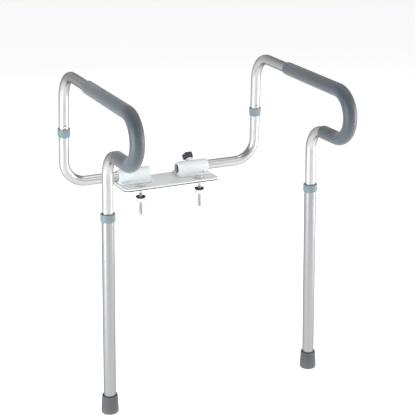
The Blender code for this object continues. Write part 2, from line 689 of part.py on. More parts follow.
def build_wing_nut(side_name, place, top, material):
    """A hub with two wings that reach down and out."""
    hole = BOLT_RADIUS + SLIDE_GAP
    low = top - NUT_HEIGHT
    outline = [(hole, low), (NUT_RADIUS, low), (NUT_RADIUS + 0.001, top), (hole, top)]
    nut = turned(f"{side_name}_wing_nut", outline, place, material, ring=True)
    inner = (hole + NUT_RADIUS) / 2
    reach = NUT_RADIUS + WING_LENGTH
    wing = [(inner, -0.001), (reach - 0.003, -0.004), (reach, -WING_RISE + 0.003)]
    wing += [(reach - 0.002, -WING_RISE), (inner, -NUT_HEIGHT + 0.001)]
    for turn in (0, 1):
        across = Vector((1 - 2 * turn, 0, 0))
        stand = placed(place @ Vector((0, 0, top)), across.cross(Vector((0, 0, 1))), across)
        blade = prism(f"{side_name}_wing_{turn}", wing, -WING_THICK / 2, WING_THICK / 2, stand, None)
        combine(nut, helper(blade), "UNION")
    return nut


def body(name, frame, parent=None):
    """An empty on a joint's axis. Z is the axis. What it moves is its child."""
    empty = bpy.data.objects.new(name, None)
    empty.empty_display_size = 0.02
    empty.matrix_basis = frame
    bpy.context.scene.collection.objects.link(empty)
    hold(parent, [empty])
    return empty


def hold(parent, pieces):
    """Parents pieces without moving them: every matrix_basis here is a place in the world."""
    for piece in pieces:
        if parent:
            piece.parent = parent
            piece.matrix_parent_inverse = parent.matrix_basis.inverted()


def build_side(side_name, side, finishes, bracket):
    """Everything on one side, as a chain: bracket, rear tube, arm, leg."""
    frame = arm_frame(side)
    buttons = build_buttons(side_name, side, finishes)
    level = placed(lower_corner(side), Vector((side, 0, 0)), Vector((0, 0, 1)))
    rear = body(f"{side_name}_rear_body", level, bracket)
    hold(rear, build_rear(side_name, side, finishes) + [buttons["rear", "spring"]])
    rear_button = body(f"{side_name}_rear_button_body", rear_button_frame(side), rear)
    hold(rear_button, [buttons["rear", "button"]])
    arm = body(f"{side_name}_arm_body", joint_frame(side), rear)
    hold(arm, build_arm(side_name, side, finishes) + [buttons["leg", "spring"]])
    leg_button = body(f"{side_name}_leg_button_body", buttons["leg", "button"].matrix_basis, arm)
    hold(leg_button, [buttons["leg", "button"]])
    leg = body(f"{side_name}_leg_body", frame, arm)
    hold(leg, build_leg(side_name, side, finishes))
    hold(bracket, build_sleeve(side_name, side, finishes))
    knob = body(f"{side_name}_knob_body", knob_frame(side), bracket)
    hold(knob, [build_knob(side_name, side, finishes)])
    fixed, nut = build_bolt(side_name, side, finishes)
    hold(bracket, fixed)
    nut_body = body(f"{side_name}_wing_nut_body", fixed[1].matrix_basis, bracket)
    hold(nut_body, [nut])


def main():
    clear_scene()
    finishes = {
        "tube": finish("satin_aluminium", (0.80, 0.81, 0.82), 0.32, 1.0),
        "leg": finish("leg_aluminium", (0.76, 0.77, 0.78), 0.36, 1.0),
        "grip": finish("grip_foam", (0.13, 0.15, 0.18), 0.80),
        "collar": finish("collar_plastic", (0.33, 0.40, 0.44), 0.50),
        "foot": finish("foot_rubber", (0.13, 0.14, 0.15), 0.80),
        "rubber": finish("pad_rubber", (0.06, 0.06, 0.06), 0.85),
        "steel": finish("zinc_steel", (0.66, 0.66, 0.66), 0.35, 1.0),
        "button": finish("button_brass", (0.72, 0.66, 0.48), 0.35, 1.0),
        "plate": finish("white_paint", (0.85, 0.85, 0.84), 0.40),
        "sleeve": finish("sleeve_plastic", (0.82, 0.83, 0.83), 0.45),
        "white": finish("nut_plastic", (0.80, 0.80, 0.79), 0.50),
        "knob": finish("knob_plastic", (0.10, 0.11, 0.13), 0.50),
    }
    bracket = body("bracket_body", Matrix.Translation((0, lower_corner(1).y, plate_levels()[2])))
    hold(bracket, build_plate(finishes))
    for side_name, side in SIDES.items():
        build_side(side_name, side, finishes, bracket)


main()
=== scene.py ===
import json
from math import cos, pi, radians, sin, sqrt, tan

import bmesh
import bpy
from mathutils import Matrix, Vector


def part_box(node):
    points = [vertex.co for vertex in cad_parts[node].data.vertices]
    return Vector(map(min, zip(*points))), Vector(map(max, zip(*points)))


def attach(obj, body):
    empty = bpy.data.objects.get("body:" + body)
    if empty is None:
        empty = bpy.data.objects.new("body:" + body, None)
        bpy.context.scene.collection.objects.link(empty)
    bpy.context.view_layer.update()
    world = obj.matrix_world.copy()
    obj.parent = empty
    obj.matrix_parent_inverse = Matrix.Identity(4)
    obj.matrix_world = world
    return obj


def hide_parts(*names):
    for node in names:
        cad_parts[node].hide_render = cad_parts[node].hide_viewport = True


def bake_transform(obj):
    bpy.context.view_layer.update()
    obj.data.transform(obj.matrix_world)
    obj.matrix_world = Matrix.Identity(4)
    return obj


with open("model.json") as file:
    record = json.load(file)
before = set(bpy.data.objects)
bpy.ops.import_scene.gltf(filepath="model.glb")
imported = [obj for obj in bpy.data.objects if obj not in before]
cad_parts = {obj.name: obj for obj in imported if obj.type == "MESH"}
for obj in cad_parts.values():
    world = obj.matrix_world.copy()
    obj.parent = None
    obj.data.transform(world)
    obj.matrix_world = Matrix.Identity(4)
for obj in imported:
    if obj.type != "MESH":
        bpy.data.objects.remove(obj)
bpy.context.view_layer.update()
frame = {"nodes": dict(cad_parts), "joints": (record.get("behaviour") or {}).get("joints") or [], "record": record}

joints = {joint["name"]: joint for joint in frame["joints"]}
mounts = {mount["name"]: mount for mount in frame["record"]["mounts"]}
sides = {"left": 1, "right": -1}  # the sitting person's left is +X
xAxis, yAxis, zAxis = Vector((1, 0, 0)), Vector((0, 1, 0)), Vector((0, 0, 1))


studio = {
    "lens": 91.44,
    "sensor": 36,
    "clip": (0.05, 200),
    "cameraPlace": (-0.9023, -1.9372, 1.1139),
    "cameraTarget": (-0.00714, -0.0538, 0.41534),
    "floorSize": 60,
    "floorColour": (0.9, 0.9, 0.9),
    "floorGlow": 0.62,
    "floorRoughness": 0.9,
    "floorShine": 0.1,
    "floorDrop": 0.0002,  # keeps the soles from lying in the floor's plane
    "skyColour": (1.0, 1.0, 1.0),
    "skyPower": 0.32,
    "horizonPower": 0.92,
    "horizonTop": 0.08,  # sine of the elevation where the pale horizon starts to fade
    "horizonFade": 0.25,
}

# place, aim, width, height, power and colour of each soft light
lamps = {
    "leftPanel": ((-1.8, -0.4, 0.55), (0, 0, 0.45), 0.6, 1.0, 22, (0.88, 0.95, 1.0)),
    "rightPanel": ((1.7, -0.75, 0.5), (0, 0, 0.45), 0.6, 0.95, 20, (1.0, 0.99, 0.97)),
    "topPanel": ((0.6, 0.3, 2.6), (0, 0, 0.4), 1.8, 1.4, 11, (1.0, 1.0, 1.0)),
    "backPanel": ((0.2, 3.0, 1.7), (0, 0, 0.6), 2.6, 1.0, 7, (1.0, 1.0, 1.0)),
    "frontPanel": ((1.0, -1.9, 2.0), (0, 0, 0.45), 1.4, 1.2, 9, (1.0, 1.0, 1.0)),
}


def aimed(place, target):
    # a matrix at place that looks at target with its -Z
    direction = Vector(target) - Vector(place)
    turn = direction.to_track_quat("-Z", "Y").to_matrix().to_4x4()
    return Matrix.Translation(place) @ turn


def linked(thing):
    bpy.context.scene.collection.objects.link(thing)
    return thing


def addCamera():
    lens = bpy.data.cameras.new("camera")
    lens.sensor_width = studio["sensor"]
    lens.lens = studio["lens"]
    lens.clip_start, lens.clip_end = studio["clip"]
    camera = linked(bpy.data.objects.new("camera", lens))
    camera.matrix_world = aimed(studio["cameraPlace"], studio["cameraTarget"])
    bpy.context.scene.camera = camera


def addLamps():
    for name, (place, target, width, height, power, colour) in lamps.items():
        light = bpy.data.lights.new(name, "AREA")
        light.shape = "RECTANGLE"
        light.size = width
        light.size_y = height
        light.energy = power
        light.color = colour
        lamp = linked(bpy.data.objects.new(name, light))
        lamp.matrix_world = aimed(place, target)


def addSky():
    world = bpy.data.worlds.new("sky")
    world.use_nodes = True
    background = world.node_tree.nodes["Background"]
    background.inputs["Color"].default_value = (*studio["skyColour"], 1)
    net = Net(world.node_tree)
    direction = net.node("ShaderNodeTexCoord", {}, output="Generated")
    rise = net.node("ShaderNodeSeparateXYZ", {}, [direction], output="Z")
    faded = (1 - (rise - studio["horizonTop"]) / studio["horizonFade"]).clamped()
    extra = studio["horizonPower"] - studio["skyPower"]
    net.feed(background.inputs["Strength"], studio["skyPower"] + faded * extra)
    bpy.context.scene.world = world


def addFloor():
    half = studio["floorSize"] / 2
    mesh = bpy.data.meshes.new("floor")
    corners = [(-half, -half, 0), (half, -half, 0), (half, half, 0), (-half, half, 0)]
    mesh.from_pydata(corners, [], [(0, 1, 2, 3)])
    floor = linked(bpy.data.objects.new("floor", mesh))
    floor.location.z = -studio["floorDrop"]
    look = {
        "Base Color": studio["floorColour"],
        "Roughness": studio["floorRoughness"],
        "Specular IOR Level": studio["floorShine"],
        "Emission Color": (1.0, 1.0, 1.0),
        "Emission Strength": studio["floorGlow"],
    }
    mesh.materials.append(newMaterial("floorPaper", look)[0])


class Wire:
    # one output of a node; Python's operators add Math nodes to it
    def __init__(self, net, socket):
        self.net = net
        self.socket = socket

    def __getitem__(self, name):
        return Wire(self.net, self.socket.node.outputs[name])

    def maths(self, operation, *others):
        return self.net.node("ShaderNodeMath", {"operation": operation}, others)

    def __add__(self, other):
        return self.maths("ADD", self, other)

    def __radd__(self, other):
        return self.maths("ADD", other, self)

    def __sub__(self, other):
        return self.maths("SUBTRACT", self, other)

    def __rsub__(self, other):
        return self.maths("SUBTRACT", other, self)

    def __mul__(self, other):
        return self.maths("MULTIPLY", self, other)

    def __rmul__(self, other):
        return self.maths("MULTIPLY", other, self)

    def __truediv__(self, other):
        return self.maths("DIVIDE", self, other)

    def __rtruediv__(self, other):
        return self.maths("DIVIDE", other, self)

    def pingPong(self, height):
        return self.maths("PINGPONG", self, height)

    def cosine(self):
        return self.maths("COSINE", self)

    def sine(self):
        return self.maths("SINE", self)

    def clamped(self):
        made = self.maths("ADD", self, 0)
        made.socket.node.use_clamp = True
        return made


class Net:
    # a node tree that is filled by calling node()
    def __init__(self, tree):
        self.tree = tree

    def node(self, kind, settings=None, inputs=(), output=0):
        made = self.tree.nodes.new(kind)
        for name, value in (settings or {}).items():
            setattr(made, name, value)
        pairs = inputs.items() if isinstance(inputs, dict) else enumerate(inputs)
        for key, value in pairs:
            self.feed(made.inputs[key], value)
        return Wire(self, made.outputs[output])

    def feed(self, socket, value):
        if isinstance(value, Wire):
            self.tree.links.new(value.socket, socket)
        elif value is not None:
            socket.default_value = value

    def mixed(self, factor, first, second):
        # mixes two colours; A, B and Result of a Mix node's colours are its sockets 6, 7 and 2
        inputs = {"Factor": factor}
        for key, colour in ((6, first), (7, second)):
            inputs[key] = (*colour, 1) if isinstance(colour, tuple) else colour
        return self.node("ShaderNodeMix", {"data_type": "RGBA"}, inputs, 2)

    def vector(self, operation, first, second):
        return self.node("ShaderNodeVectorMath", {"operation": operation}, [first, second])

    def stretched(self, vector, scale):
        # a vector times a number that varies
        inputs = {"Vector": vector, "Scale": scale}
        return self.node("ShaderNodeVectorMath", {"operation": "SCALE"}, inputs)

    def noise(self, vector, scale, detail=2.0, roughness=0.5):
        inputs = {"Vector": vector, "Scale": scale, "Detail": detail, "Roughness": roughness}
        return self.node("ShaderNodeTexNoise", {}, inputs)

    def stored(self, geometry, name, value, kind="FLOAT_VECTOR", domain="POINT"):
        inputs = {"Geometry": geometry, "Name": name, "Value": value}
        settings = {"data_type": kind, "domain": domain}
        return self.node("GeometryNodeStoreNamedAttribute", settings, inputs)


def newMaterial(name, settings):
    # a Principled material with its constants on the shader's own sockets
    material = bpy.data.materials.new(name)
    material.use_nodes = True
    net = Net(material.node_tree)
    shader = material.node_tree.nodes["Principled BSDF"]
    for socket, value in settings.items():
        shader.inputs[socket].default_value = (*value, 1) if isinstance(value, tuple) else value
    return material, net, shader


def surfaced(net, shader, colour, roughness, height, relief):
    # what varies over a finish; relief is the depth and the strength of its bump
    net.feed(shader.inputs["Base Color"], colour)
    net.feed(shader.inputs["Roughness"], roughness)
    inputs = {"Distance": relief[0], "Strength": relief[1], "Height": height}
    net.feed(shader.inputs["Normal"], net.node("ShaderNodeBump", {}, inputs))


addCamera()
addLamps()
addSky()
addFloor()
bpy.context.scene.view_settings.view_transform = "Standard"
print("studio: camera, lamps, sky and floor")


def shaded(net, tone, colour, tones):
    # a colour that runs from its deep tone to its pale one
    deep, pale = [tuple(min(1, part * factor) for part in colour) for factor in tones]
    return net.mixed(tone, deep, pale)


def objectPlace(net):
    return net.node("ShaderNodeTexCoord", {}, output="Object")


def sheathPlace(net):
    # where a point of a bent tube would be if the tube were straight
    return net.node("ShaderNodeAttribute", {"attribute_name": "sheath"}, output="Vector")


aluminium = {
    # a dark specular tint: painted shade on the tube's grazing edges
    "tint": (0.18, 0.18, 0.18),
    "lineScale": 900,
    "lineStretch": (1.0, 1.0, 0.012),  # the lines run along the tube
    "cloudScale": 24,
    "tones": (0.9, 1.04),
    "smoother": 0.07,
    "lineRoughness": 0.11,
    "cloudRoughness": 0.05,
    "relief": (0.00005, 0.4),  # depth and strength of the bump
}


def drawnAluminium(name, colour, roughness):
    # satin anodised tube: fine lines drawn along it, a faint cloudiness, and its edges painted darker by a dark
    # specular tint as painted shade
    look = {"Metallic": 1.0, "Specular Tint": aluminium["tint"]}
    material, net, shader = newMaterial(name, look)
    sheath = sheathPlace(net)
    stretched = net.vector("MULTIPLY", sheath, aluminium["lineStretch"])
    lines = net.noise(stretched, aluminium["lineScale"], 3)
    clouds = net.noise(sheath, aluminium["cloudScale"], 3)
    tone = shaded(net, (clouds * 0.5 + lines * 0.5).clamped(), colour, aluminium["tones"])
    rough = roughness - aluminium["smoother"] + lines * aluminium["lineRoughness"]
    rough = rough + clouds * aluminium["cloudRoughness"]
    surfaced(net, shader, tone, rough, lines, aluminium["relief"])
    return material


foam = {
    "shine": 0.75,
    "sheen": 0.25,
    "sheenRoughness": 0.45,
    "poreScale": 900,
    "grainScale": 620,
    "cloudScale": 38,
    "tones": (0.68, 1.32),
    "smoothest": 0.36,
    "cloudRoughness": 0.1,
    "grainRoughness": 0.08,
    "relief": (0.0004, 0.6),
}


def gripFoam(name, colour):
    # closed-cell foam: a fine skin of pores, paler where it is rubbed
    look = {
        "Sheen Weight": foam["sheen"],
        "Sheen Roughness": foam["sheenRoughness"],
        "Specular IOR Level": foam["shine"],
    }
    material, net, shader = newMaterial(name, look)
    sheath = sheathPlace(net)
    cells = {"Vector": sheath, "Scale": foam["poreScale"]}
    pores = net.node("ShaderNodeTexVoronoi", {"feature": "F1"}, cells)
    grain = net.noise(sheath, foam["grainScale"], 4, 0.6)
    clouds = net.noise(sheath, foam["cloudScale"], 3)
    mottle = (clouds * 0.55 + grain * 0.3 + pores * 0.25).clamped()
    tone = shaded(net, mottle, colour, foam["tones"])
    rough = foam["smoothest"] + clouds * foam["cloudRoughness"] + grain * foam["grainRoughness"]
    surfaced(net, shader, tone, rough, pores * 0.6 + grain * 0.4, foam["relief"])
    return material


plastic = {
    "shine": 0.45,
    "grainScale": 900,
    "cloudScale": 45,
    "tones": (0.93, 1.06),
    "smoother": 0.04,
    "grainRoughness": 0.1,
    "relief": (0.00006, 0.4),
}


def mouldedPlastic(name, colour, roughness):
    # moulded plastic with a spark-eroded grain
    material, net, shader = newMaterial(name, {"Specular IOR Level": plastic["shine"]})
    place = objectPlace(net)
    grain = net.noise(place, plastic["grainScale"], 2)
    clouds = net.noise(place, plastic["cloudScale"], 3)
    tone = shaded(net, clouds, colour, plastic["tones"])
    rough = roughness - plastic["smoother"] + grain * plastic["grainRoughness"]
    surfaced(net, shader, tone, rough, grain, plastic["relief"])
    return material


rubber = {
    "shine": 0.3,
    "grainScale": 1300,
    "cloudScale": 60,
    "tones": (0.88, 1.15),
    "dustColour": (0.34, 0.33, 0.31),
    "dustHeight": 0.02,
    "smoothest": 0.62,
    "cloudRoughness": 0.2,
    "relief": (0.00012, 0.45),
}


def softRubber(name, colour, dusty=0.0):
    # matt rubber, dusty towards the floor if it stands on it
    material, net, shader = newMaterial(name, {"Specular IOR Level": rubber["shine"]})
    place = objectPlace(net)
    grain = net.noise(place, rubber["grainScale"], 3)
    clouds = net.noise(place, rubber["cloudScale"], 3)
    tone = shaded(net, clouds, colour, rubber["tones"])
    if dusty:
        height = net.node("ShaderNodeSeparateXYZ", {}, [place], output="Z")
        near = (1 - height / rubber["dustHeight"]).clamped() * clouds * dusty
        tone = net.mixed(near.clamped(), tone, rubber["dustColour"])
    rough = rubber["smoothest"] + clouds * rubber["cloudRoughness"]
    surfaced(net, shader, tone, rough, grain, rubber["relief"])
    return material


steel = {
    "cloudScale": 320,
    "tones": (0.85, 1.0),
    "cloudRoughness": 0.14,
    "relief": (0.00002, 0.3),
}


def platedSteel(name, colour, roughness):
    # plated metal, slightly clouded
    material, net, shader = newMaterial(name, {"Metallic": 1.0})
    clouds = net.noise(objectPlace(net), steel["cloudScale"], 4)
    tone = shaded(net, clouds, colour, steel["tones"])
    rough = roughness + clouds * steel["cloudRoughness"]
    surfaced(net, shader, tone, rough, clouds, steel["relief"])
    return material


powder = {
    "shine": 0.5,
    "peelScale": 420,
    "cloudScale": 20,
    "tones": (0.96, 1.0),
    "smoothest": 0.3,
    "peelRoughness": 0.1,
    "relief": (0.0001, 0.35),
}


def powderCoat(name, colour):
    # powder coat with a fine orange peel
    material, net, shader = newMaterial(name, {"Specular IOR Level": powder["shine"]})
    place = objectPlace(net)
    peel = net.noise(place, powder["peelScale"], 2)
    clouds = net.noise(place, powder["cloudScale"], 2)
    tone = shaded(net, clouds, colour, powder["tones"])
    rough = powder["smoothest"] + peel * powder["peelRoughness"]
    surfaced(net, shader, tone, rough, peel, powder["relief"])
    return material


finishes = {
    "tube": drawnAluminium("drawnAluminium", (0.58, 0.58, 0.585), 0.30),
    # the same aluminium as the tube's, painted darker: a painted shade on the legs
    "leg": drawnAluminium("legAluminium", (0.4, 0.4, 0.405), 0.36),
    "grip": gripFoam("gripFoam", (0.062, 0.078, 0.094)),
    "collar": mouldedPlastic("collarPlastic", (0.205, 0.265, 0.285), 0.5),
    "foot": softRubber("footRubber", (0.11, 0.114, 0.119), 0.35),
    "rubber": softRubber("padRubber", (0.05, 0.05, 0.052)),
    "steel": platedSteel("platedSteel", (0.70, 0.70, 0.69), 0.26),
    "button": platedSteel("buttonNickel", (0.80, 0.74, 0.58), 0.2),
    "plate": powderCoat("platePowder", (0.84, 0.845, 0.84)),
    "sleeve": mouldedPlastic("sleevePlastic", (0.78, 0.815, 0.83), 0.42),
    "nut": mouldedPlastic("nutPlastic", (0.80, 0.80, 0.78), 0.42),
    "knob": mouldedPlastic("knobPlastic", (0.045, 0.05, 0.058), 0.45),
}
print("finishes:", ", ".join(finishes))


shaping = {
    "weldGap": 1e-7,
    "wrapWeldGap": 1e-6,
    "leastTurn": radians(10),  # a corner that turns less isn't rounded
    "edgeShare": 0.45,  # how much of an edge a rounded corner may take
    "leastStep": 0.0003,  # between points of a path
    "bevelAngle": radians(40),
}


def meshObject(name, points, edges=(), faces=()):
    mesh = bpy.data.meshes.new(name)
    mesh.from_pydata([tuple(point) for point in points], list(edges), list(faces))
    return linked(bpy.data.objects.new(name, mesh))


def finished(piece, smoothAngle=32):
    # applies a piece's modifiers, turns its faces out and shades it
    bpy.context.view_layer.update()
    graph = bpy.context.evaluated_depsgraph_get()
    mesh = bpy.data.meshes.new_from_object(piece.evaluated_get(graph))
    piece.modifiers.clear()
    old = piece.data
    piece.data = mesh
    bpy.data.meshes.remove(old)
    mesh.name = piece.name
    shape = bmesh.new()
    shape.from_mesh(mesh)
    bmesh.ops.remove_doubles(shape, verts=shape.verts, dist=shaping["weldGap"])
    bmesh.ops.recalc_face_normals(shape, faces=shape.faces)
    shape.to_mesh(mesh)
    shape.free()
    mesh.shade_smooth()
    mesh.set_sharp_from_angle(angle=radians(smoothAngle))
    return piece


def socketNames(tree):
    items = tree.interface.items_tree
    return {item.name: item.identifier for item in items if item.in_out == "INPUT"}


def withNodes(piece, tree, values):
    # adds a geometry nodes modifier and sets its inputs by identifier
    modifier = piece.modifiers.new(tree.name, "NODES")
    modifier.node_group = tree
    names = socketNames(tree)
    for name, value in values.items():
        modifier[names[name]] = value
    return piece


def newTree(name, inputs):
    tree = bpy.data.node_groups.new(name, "GeometryNodeTree")
    tree.interface.new_socket("Geometry", in_out="INPUT", socket_type="NodeSocketGeometry")
    for title, kind in inputs.items():
        tree.interface.new_socket(title, in_out="INPUT", socket_type="NodeSocket" + kind)
    tree.interface.new_socket("Geometry", in_out="OUTPUT", socket_type="NodeSocketGeometry")
    net = Net(tree)
    return tree, net, net.node("NodeGroupInput")


def closeTree(net, geometry, material):
    # every tree ends in Realize Instances and Set Material
    real = net.node("GeometryNodeRealizeInstances", {}, [geometry])
    painted = net.node("GeometryNodeSetMaterial", {}, {"Geometry": real, "Material": material})
    end = net.tree.nodes.new("NodeGroupOutput")
    net.tree.links.new(painted.socket, end.inputs[0])


def makeWrapTree():
    # wraps an outline of (distance along the path, radius, thread) round a path
    titles = {
        "Path": "Object",
        "Sides": "Int",
        "Thread Pitch": "Float",
        "Thread Depth": "Float",
        "Material": "Material",
    }
    tree, net, given = newTree("outlineRoundPath", titles)
    place = net.node("GeometryNodeInputPosition")
    kept = net.stored(given["Geometry"], "outline", place)
    outline = net.node("GeometryNodeMeshToCurve", {}, [kept])
    count = {"Resolution": given["Sides"]}
    circle = net.node("GeometryNodeCurvePrimitiveCircle", {"mode": "RADIUS"}, count)
    index = net.node("GeometryNodeInputIndex")
    turned = net.stored(circle, "turn", index / given["Sides"], "FLOAT")
    both = {"Curve": turned, "Profile Curve": outline}
    sheet = net.node("GeometryNodeCurveToMesh", {}, both)
    reader = "GeometryNodeInputNamedAttribute"
    read = net.node(reader, {"data_type": "FLOAT_VECTOR"}, {"Name": "outline"})
    turn = net.node(reader, {"data_type": "FLOAT"}, {"Name": "turn"})
    parts = net.node("ShaderNodeSeparateXYZ", {}, [read])
    along, radius, thread = parts["X"], parts["Y"], parts["Z"]
    phase = along / given["Thread Pitch"] + turn
    ridge = phase.pingPong(0.5) * 2
    radius = radius - ridge * thread * given["Thread Depth"]
    angle = turn * (2 * pi)
    across = angle.cosine() * radius
    aside = angle.sine() * radius
    path = net.node("GeometryNodeObjectInfo", {}, {"Object": given["Path"]}, output="Geometry")
    asked = {"Curves": path, "Length": along}
    sample = net.node("GeometryNodeSampleCurve", {"mode": "LENGTH"}, asked)
    side = net.vector("CROSS_PRODUCT", sample["Tangent"], sample["Normal"])
    spoke = net.vector("ADD", net.stretched(sample["Normal"], across), net.stretched(side, aside))
    point = net.vector("ADD", spoke, sample["Position"])
    # the unbent place of each point, which the finishes use for what runs along a tube
    unbent = net.node("ShaderNodeCombineXYZ", {}, [across, aside, along])
    marked = net.stored(sheet, "sheath", unbent, domain="CORNER")
    moved = net.node("GeometryNodeSetPosition", {}, {"Geometry": marked, "Position": point})
    gap = {"Geometry": moved, "Distance": shaping["wrapWeldGap"]}
    welded = net.node("GeometryNodeMergeByDistance", {}, gap)
    closeTree(net, welded, given["Material"])
    return tree


def makeCopiesTree():
    # puts a copy of an object at every point, with its Z along one axis
    titles = {"Thing": "Object", "Axis": "Vector", "Material": "Material"}
    tree, net, given = newTree("copiesAtPoints", titles)
    thing = net.node("GeometryNodeObjectInfo", {}, {"Object": given["Thing"]}, output="Geometry")
    turn = net.node("FunctionNodeAxesToRotation", {}, [given["Axis"], (0, 1, 0)])
    inputs = {"Points": given["Geometry"], "Instance": thing, "Rotation": turn}
    copies = net.node("GeometryNodeInstanceOnPoints", {}, inputs)
    closeTree(net, copies, given["Material"])
    return tree


wrapTree = makeWrapTree()
copiesTree = makeCopiesTree()


def pathObject(points):
    curve = bpy.data.curves.new("path", "CURVE")
    curve.dimensions = "3D"
    spline = curve.splines.new("POLY")
    spline.points.add(len(points) - 1)
    for place, point in zip(spline.points, points):
        place.co = (*point, 1)
    return linked(bpy.data.objects.new("path", curve))


def wrapped(
    name, outline, points, material, ring=False, around=48, pitch=1.0, depth=0.0, smoothAngle=32
):
    # an outline of (distance, radius) turned round a path; a ring's outline closes on itself
    count = len(outline)
    edges = [(i, i + 1) for i in range(count - 1)] + ([(count - 1, 0)] if ring else [])
    flat = [(*point, 0) if len(point) == 2 else point for point in outline]
    piece = meshObject(name, flat, edges)
    path = pathObject(points)
    values = {
        "Path": path,
        "Sides": around,
        "Thread Pitch": pitch,
        "Thread Depth": depth,
        "Material": material,
    }
    withNodes(piece, wrapTree, values)
    finished(piece, smoothAngle)
    bpy.data.objects.remove(path)
    return piece


def turnedPiece(name, outline, place, material, ring=False, around=48, **more):
    # an outline of (height, radius) turned about the Z of a place
    low = min(point[0] for point in outline)
    high = max(point[0] for point in outline)
    points = [place @ Vector((0, 0, low)), place @ Vector((0, 0, high))]
    raised = [(point[0] - low, *point[1:]) for point in outline]
    return wrapped(name, raised, points, material, ring, around, **more)


def softened(corners, radius, steps=4, ring=False):
    # rounds the corners of an outline
    points = []
    count = len(corners)
    for i, corner in enumerate(corners):
        here = Vector(corner)
        if not ring and i in (0, count - 1):
            points.append(tuple(here))
            continue
        back = Vector(corners[i - 1]) - here
        ahead = Vector(corners[(i + 1) % count]) - here
        turn = pi - back.angle(ahead)
        if turn < shaping["leastTurn"]:
            points.append(tuple(here))
            continue
        shorter = min(back.length, ahead.length)
        reach = min(radius * tan(turn / 2), shaping["edgeShare"] * shorter)
        start = here + back.normalized() * reach
        inward = (back.normalized() + ahead.normalized()).normalized()
        middle = here + inward * reach / sin(turn / 2)
        way = 1 if back.cross(ahead) < 0 else -1
        for step in range(steps + 1):
            spoke = start - middle
            spoke.rotate(Matrix.Rotation(way * turn * step / steps, 2))
            points.append(tuple(middle + spoke))
    return points


def bentPath(corners, radii, step=radians(3)):
    # points along straight runs whose corners are bent
    points = [corners[0]]
    for before, corner, after, radius in zip(corners, corners[1:], corners[2:], radii):
        arrive = (corner - before).normalized()
        leave = (after - corner).normalized()
        turn = arrive.angle(leave)
        axis = arrive.cross(leave).normalized()
        start = corner - arrive * radius * tan(turn / 2)
        centre = start + axis.cross(arrive) * radius
        count = round(turn / step)
        for i in range(count + 1):
            point = centre + Matrix.Rotation(turn * i / count, 3, axis) @ (start - centre)
            if (point - points[-1]).length > shaping["leastStep"]:
                points.append(point)
    points.append(corners[-1])
    return points


def distances(points):
    # how far along a path each of its points is
    lengths = [0]
    for before, after in zip(points, points[1:]):
        lengths.append(lengths[-1] + (after - before).length)
    return lengths


def placed(origin, up, across=xAxis):
    # a frame at origin with its Z along up and its X as near to across as it can be
    back = up.cross(across).normalized()
    across = back.cross(up).normalized()
    turn = Matrix((across, back, up.normalized())).transposed().to_4x4()
    return Matrix.Translation(origin) @ turn


def prism(name, outline, low, high, place, material, bevel=0.0, segments=3):
    # an outline of (x, y) extruded from low to high along the Z of a place
    shape = bmesh.new()
    face = shape.faces.new([shape.verts.new((x, y, low)) for x, y in outline])
    raised = bmesh.ops.extrude_face_region(shape, geom=[face])["geom"]
    corners = [part for part in raised if isinstance(part, bmesh.types.BMVert)]
    bmesh.ops.translate(shape, verts=corners, vec=(0, 0, high - low))
    bmesh.ops.recalc_face_normals(shape, faces=shape.faces)
    shape.transform(place)
    mesh = bpy.data.meshes.new(name)
    shape.to_mesh(mesh)
    shape.free()
    mesh.materials.append(material)
    piece = linked(bpy.data.objects.new(name, mesh))
    if bevel:
        edge = piece.modifiers.new("edge", "BEVEL")
        edge.width = bevel
        edge.segments = segments
        edge.limit_method = "ANGLE"
        edge.angle_limit = shaping["bevelAngle"]
    return finished(piece)


def combined(piece, others, operation):
    # joins or cuts a piece with others, which go
    for other in others:
        step = piece.modifiers.new("combine", "BOOLEAN")
        step.operation = operation
        step.solver = "EXACT"
        step.object = other
    finished(piece)
    for other in others:
        bpy.data.objects.remove(other)
    return piece


def copies(name, thing, points, axis, material):
    # a copy of a thing at every point
    piece = meshObject(name, points)
    values = {"Thing": thing, "Axis": tuple(axis), "Material": material}
    withNodes(piece, copiesTree, values)
    finished(piece)
    bpy.data.objects.remove(thing)
    return piece


def drilled(piece, points, axis, radius, reach):
    # cuts a round hole from each point along one axis
    outline = [(0, 0), (0, radius), (reach, radius), (reach, 0)]
    pin = turnedPiece("pin", outline, Matrix(), None, around=32)
    return combined(piece, [copies("pins", pin, points, axis, None)], "DIFFERENCE")


def settle(piece, body, slot, *nodes):
    # a finished piece rides on its body in place of its CAD nodes
    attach(piece, body)
    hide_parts(*nodes)
    return piece


# what several pieces share, in metres
sizes = {
    "gap": 0.0003,  # between pieces that don't move
    "slideGap": 0.00035,  # between pieces that slide or turn
    "tubeRadius": 0.0111,
    "tubeWall": 0.0015,
    "holeRadius": 0.0038,
    "returnHeight": 0.5665,
    "armReach": 0.153,
    "armSlope": radians(1.8),
    "rearReach": 0.2525,
    "rearLean": radians(3.63),
    "jointDrop": 0.1292,
    "lowerDrop": 0.1215,
    "splay": radians(1.15),  # how far each side's plane leans out
    "rearButtonRise": 0.0102,  # above the arm tube's end
    "bend": 0.050,
    "rearBend": 0.060,
}
bore = sizes["tubeRadius"] - sizes["tubeWall"]
fitted = sizes["tubeRadius"] + sizes["slideGap"]
armCorner = sizes["returnHeight"] + sizes["bend"] * (1 + tan((pi / 2 - sizes["armSlope"]) / 2))
rearCorner = armCorner + (sizes["rearReach"] + sizes["armReach"]) * tan(sizes["armSlope"])
jointHeight = rearCorner - sizes["jointDrop"]
lowerHeight = jointHeight - sizes["lowerDrop"]


def jointPlace(side, name):
    return Vector(joints[f"{side}_{name}"]["pos_m"])


def jointAxis(side, name):
    return Vector(joints[f"{side}_{name}"]["axis"])


def upOf(place):
    return place.to_3x3() @ zAxis


def sideFrame(side):
    # X across the side's plane, Y back along it, Z up the front leg
    up = -jointAxis(side, "leg_height")
    back = -jointAxis(side, "leg_button_push")
    return placed(Vector(mounts[f"{side}_foot_sole"]["pos_m"]), up, back.cross(up))


